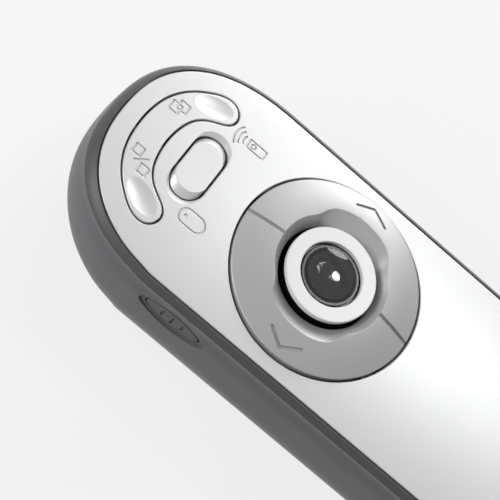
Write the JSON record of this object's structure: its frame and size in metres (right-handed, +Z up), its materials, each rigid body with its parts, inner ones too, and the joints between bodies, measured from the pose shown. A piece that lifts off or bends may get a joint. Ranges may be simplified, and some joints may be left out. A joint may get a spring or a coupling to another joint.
{
  "type": "wireless presentation clicker",
  "caption": "Hand-held wireless presenter: soft grey shell, silver face, rocking next and previous ring, tilting centre stick with a glass button, crescent, mode and side keys.",
  "frame": {"origin": "bottom centre of the body, on the surface that it lies on", "axes": "+Z up through the silver face, +Y to the head with the crescent key, +X to the right"},
  "size_m": [0.0456, 0.138, 0.0239],
  "materials": {
    "soft_grey": "soft-touch dark grey coating over ABS, fine matt grain",
    "silver_plate": "bright silver painted plastic, satin",
    "spun_silver": "spun metallic silver with a soft radial sheen",
    "white_plastic": "plain white, satin gloss",
    "black_plastic": "black moulded plastic",
    "smoked_glass": "smoked clear dome, polished",
    "dark_lens": "dark tinted acrylic, polished",
    "dark_grey": "dark grey moulded key, fine grain",
    "natural_nylon": "natural nylon",
    "nickel": "nickel plated",
    "spring_steel": "bright spring steel",
    "circuit_board": "green solder mask",
    "chip_black": "moulded chip package",
    "black_steel": "black zinc screw",
    "cell_wrap": "plain dark battery sleeve",
    "silicone": "translucent grey silicone",
    "brass": "turned brass",
    "switch_black": "switch housing"
  },
  "bodies": {
    "enclosure": {"lower_shell": "soft_grey", "upper_bezel": "soft_grey", "face_plate": "silver_plate", "main_pcb": "circuit_board", "pcb_screws": "black_steel", "housing_screws": "black_steel", "radio_shield": "nickel", "controller_chip": "chip_black", "sensor_chip": "chip_black", "side_switch_board": "circuit_board", "side_switch_front": "switch_black", "side_switch_rear": "switch_black", "stick_bracket": "natural_nylon", "centering_boot": "silicone", "battery_left": "cell_wrap", "battery_right": "cell_wrap", "battery_contacts": "nickel", "battery_springs": "spring_steel", "laser_module": "brass", "laser_holder": "black_plastic", "laser_window": "dark_lens", "ring_switch_left": "switch_black", "crescent_switch_left": "switch_black", "mode_switch_left": "switch_black", "ring_switch_right": "switch_black", "crescent_switch_right": "switch_black", "mode_switch_right": "switch_black"},
    "ring": {"rocker_ring": "spun_silver"},
    "crescent": {"crescent_key": "silver_plate"},
    "mode": {"mode_key": "silver_plate"},
    "side": {"side_key": "dark_grey"},
    "gimbal": {"gimbal_ring": "natural_nylon"},
    "stick": {"stick_cup": "black_plastic", "stick_ring": "white_plastic", "sensor_magnet": "nickel", "button_dome": "spring_steel"},
    "button": {"lens_barrel": "black_plastic", "dome_lens": "smoked_glass", "inner_lens": "dark_lens"},
    "door": {"battery_door": "soft_grey"}
  },
  "joints": [
    {"name": "ring_rock", "type": "hinge", "parent": "enclosure", "child": "ring", "pos_m": [0, 0.0214, 0.0176], "axis": [0, 1, 0], "range_deg": [-2, 2], "stiffness_Nm_per_rad": 0.6},
    {"name": "crescent_rock", "type": "hinge", "parent": "enclosure", "child": "crescent", "pos_m": [0, 0.057, 0.0176], "axis": [0, 1, 0], "range_deg": [-2, 2], "stiffness_Nm_per_rad": 0.4},
    {"name": "mode_rock", "type": "hinge", "parent": "enclosure", "child": "mode", "pos_m": [0, 0.0504, 0.0176], "axis": [0, 1, 0], "range_deg": [-3, 3], "stiffness_Nm_per_rad": 0.1},
    {"name": "side_rock", "type": "hinge", "parent": "enclosure", "child": "side", "pos_m": [-0.01982, 0.0376, 0.01565], "axis": [0, 0, 1], "range_deg": [-3, 3], "stiffness_Nm_per_rad": 0.08},
    {"name": "gimbal_tilt", "type": "hinge", "parent": "enclosure", "child": "gimbal", "pos_m": [0, 0.0214, 0.0156], "axis": [0, 1, 0], "range_deg": [-3.5, 3.5], "stiffness_Nm_per_rad": 0.08, "deforming": ["centering_boot"]},
    {"name": "stick_tilt", "type": "hinge", "parent": "gimbal", "child": "stick", "pos_m": [0, 0.0214, 0.0156], "axis": [1, 0, 0], "range_deg": [-3.5, 3.5], "stiffness_Nm_per_rad": 0.08, "deforming": ["centering_boot"]},
    {"name": "button_press", "type": "slide", "parent": "stick", "child": "button", "axis": [0, 0, -1], "range_m": [0, 0.00045], "stiffness_N_per_m": 1500},
    {"name": "door_slide", "type": "slide", "parent": "enclosure", "child": "door", "axis": [0, -1, 0], "range_m": [0, 0.042]}
  ]
}
